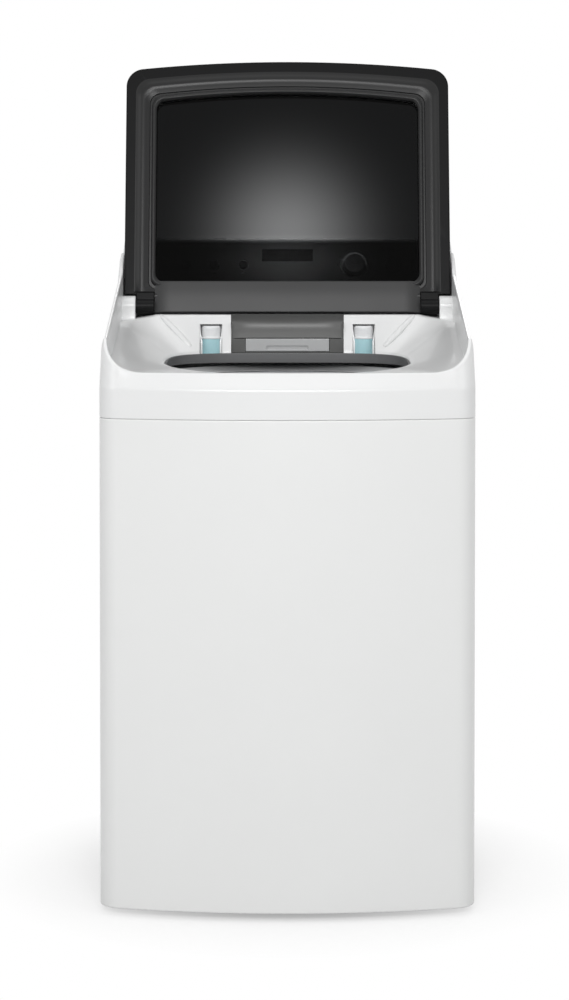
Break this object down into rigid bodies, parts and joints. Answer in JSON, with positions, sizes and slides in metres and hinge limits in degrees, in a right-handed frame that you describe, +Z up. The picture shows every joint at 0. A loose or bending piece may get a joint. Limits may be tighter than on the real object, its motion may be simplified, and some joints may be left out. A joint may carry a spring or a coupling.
{
  "type": "top load washing machine",
  "caption": "Top load washing machine: bowed steel cabinet, funnel shaped deck, tinted glass lid on a rear hinge, hung tub with spin basket and pulsator.",
  "frame": {"origin": "on the floor, below the middle of the bounding box, level with the undersides of the feet", "axes": "+X to the user's right as they face the machine, +Y to the back, +Z up"},
  "size_m": [0.6, 0.64, 1.3834],
  "materials": {
    "painted_sheet": "gloss white enamel",
    "cover_plastic": "gloss white moulding",
    "housing_plastic": "satin light grey moulding",
    "white_plastic": "satin white moulding",
    "cup_plastic": "pale blue, slightly clear",
    "fascia_plastic": "dark grey gloss",
    "display_gloss": "black gloss",
    "control_metal": "satin chrome",
    "button_plastic": "silver grey",
    "lid_plastic": "dark grey satin gloss",
    "bezel_plastic": "dark grey satin",
    "tinted_glass": "tinted, polished",
    "tub_plastic": "natural grey moulding",
    "stainless": "brushed stainless",
    "steel": "zinc plated",
    "cast_alloy": "as cast",
    "motor_paint": "satin black enamel",
    "black_plastic": "textured black moulding",
    "black_rubber": "matt black rubber"
  },
  "bodies": {
    "cabinet": {"cabinet_wrap": "painted_sheet", "rear_panel": "painted_sheet", "base_frame": "black_plastic", "top_cover": "cover_plastic", "console_housing": "cover_plastic", "control_fascia": "fascia_plastic", "display_window": "display_gloss", "detergent_housing": "housing_plastic", "dosing_cup_left": "cup_plastic", "dosing_cup_right": "cup_plastic", "dosing_cap_left": "white_plastic", "dosing_cap_right": "white_plastic", "inlet_valve": "white_plastic", "drain_pump": "black_plastic", "drain_outlet": "black_plastic", "drain_bellows": "black_rubber", "power_grommet": "black_plastic", "pressure_sensor": "white_plastic", "lid_switch": "black_plastic", "suspension_rod_front_left": "steel", "suspension_rod_front_right": "steel", "suspension_rod_rear_left": "steel", "suspension_rod_rear_right": "steel", "suspension_spring_front_left": "steel", "suspension_spring_front_right": "steel", "suspension_spring_rear_left": "steel", "suspension_spring_rear_right": "steel"},
    "lid": {"lid_frame": "lid_plastic", "lid_inner_frame": "bezel_plastic", "lid_glass": "tinted_glass", "hinge_pin_left": "steel", "hinge_pin_right": "steel"},
    "drawer": {"detergent_drawer": "white_plastic"},
    "dial": {"dial": "control_metal"},
    "power_button": {"power_button": "button_plastic"},
    "start_button": {"start_button": "button_plastic"},
    "option_button_1": {"option_button_1": "button_plastic"},
    "option_button_2": {"option_button_2": "button_plastic"},
    "option_button_3": {"option_button_3": "button_plastic"},
    "tub": {"outer_tub": "tub_plastic", "tub_cover_ring": "housing_plastic", "tub_carrier": "steel", "tub_bearing": "steel", "gearcase": "cast_alloy", "motor": "motor_paint", "drive_belt": "black_rubber"},
    "drum": {"basket": "stainless", "balance_ring": "housing_plastic", "lint_filter_left": "white_plastic", "lint_filter_right": "white_plastic", "spin_shaft": "steel"},
    "pulsator": {"pulsator": "white_plastic", "drive_shaft": "steel", "drive_pulley": "cast_alloy"},
    "motor_pulley": {"motor_pulley": "steel"},
    "foot_front_left": {"foot_front_left": "black_rubber"},
    "foot_front_right": {"foot_front_right": "black_rubber"},
    "foot_rear_left": {"foot_rear_left": "black_rubber"},
    "foot_rear_right": {"foot_rear_right": "black_rubber"}
  },
  "joints": [
    {"name": "lid_hinge", "type": "hinge", "parent": "cabinet", "child": "lid", "pos_m": [0, 0.15, 0.952], "axis": [1, 0, 0], "range_deg": [0, 112.5]},
    {"name": "drawer_slide", "type": "slide", "parent": "cabinet", "child": "drawer", "axis": [0, -1, 0], "range_m": [0, 0.11]},
    {"name": "dial_turn", "type": "hinge", "parent": "cabinet", "child": "dial", "pos_m": [0.119, 0.22179, 1.02172], "axis": [0, -0.9662, 0.2577], "continuous": true},
    {"name": "power_button_press", "type": "slide", "parent": "cabinet", "child": "power_button", "axis": [0, 0.9662, -0.2577], "range_m": [0, 0.0015], "stiffness_N_per_m": 400, "springref_m": -0.0005},
    {"name": "start_button_press", "type": "slide", "parent": "cabinet", "child": "start_button", "axis": [0, 0.9662, -0.2577], "range_m": [0, 0.0015], "stiffness_N_per_m": 400, "springref_m": -0.0005},
    {"name": "option_button_1_press", "type": "slide", "parent": "cabinet", "child": "option_button_1", "axis": [0, 0.9662, -0.2577], "range_m": [0, 0.0015], "stiffness_N_per_m": 400, "springref_m": -0.0005},
    {"name": "option_button_2_press", "type": "slide", "parent": "cabinet", "child": "option_button_2", "axis": [0, 0.9662, -0.2577], "range_m": [0, 0.0015], "stiffness_N_per_m": 400, "springref_m": -0.0005},
    {"name": "option_button_3_press", "type": "slide", "parent": "cabinet", "child": "option_button_3", "axis": [0, 0.9662, -0.2577], "range_m": [0, 0.0015], "stiffness_N_per_m": 400, "springref_m": -0.0005},
    {"name": "tub_travel", "type": "slide", "parent": "cabinet", "child": "tub", "axis": [0, 0, 1], "range_m": [-0.02, 0.005], "stiffness_N_per_m": 12000, "springref_m": 0.026, "deforming": ["suspension_spring_front_left", "suspension_spring_front_right", "suspension_spring_rear_left", "suspension_spring_rear_right", "drain_bellows"]},
    {"name": "drum_spin", "type": "hinge", "parent": "tub", "child": "drum", "pos_m": [0, -0.05, 0.6], "axis": [0, 0, 1], "continuous": true},
    {"name": "pulsator_spin", "type": "hinge", "parent": "tub", "child": "pulsator", "pos_m": [0, -0.05, 0.45], "axis": [0, 0, 1], "continuous": true},
    {"name": "motor_spin", "type": "hinge", "parent": "tub", "child": "motor_pulley", "pos_m": [-0.16, -0.05, 0.262], "axis": [0, 0, 1], "continuous": true},
    {"name": "foot_front_left_turn", "type": "hinge", "parent": "cabinet", "child": "foot_front_left", "pos_m": [-0.236, -0.226, 0.01], "axis": [0, 0, 1], "continuous": true},
    {"name": "foot_front_right_turn", "type": "hinge", "parent": "cabinet", "child": "foot_front_right", "pos_m": [0.236, -0.226, 0.01], "axis": [0, 0, 1], "continuous": true},
    {"name": "foot_rear_left_turn", "type": "hinge", "parent": "cabinet", "child": "foot_rear_left", "pos_m": [-0.236, 0.226, 0.01], "axis": [0, 0, 1], "continuous": true},
    {"name": "foot_rear_right_turn", "type": "hinge", "parent": "cabinet", "child": "foot_rear_right", "pos_m": [0.236, 0.226, 0.01], "axis": [0, 0, 1], "continuous": true}
  ],
  "couplings": [
    {"joint": "motor_spin", "follows": "pulsator_spin", "ratio": 3}
  ]
}
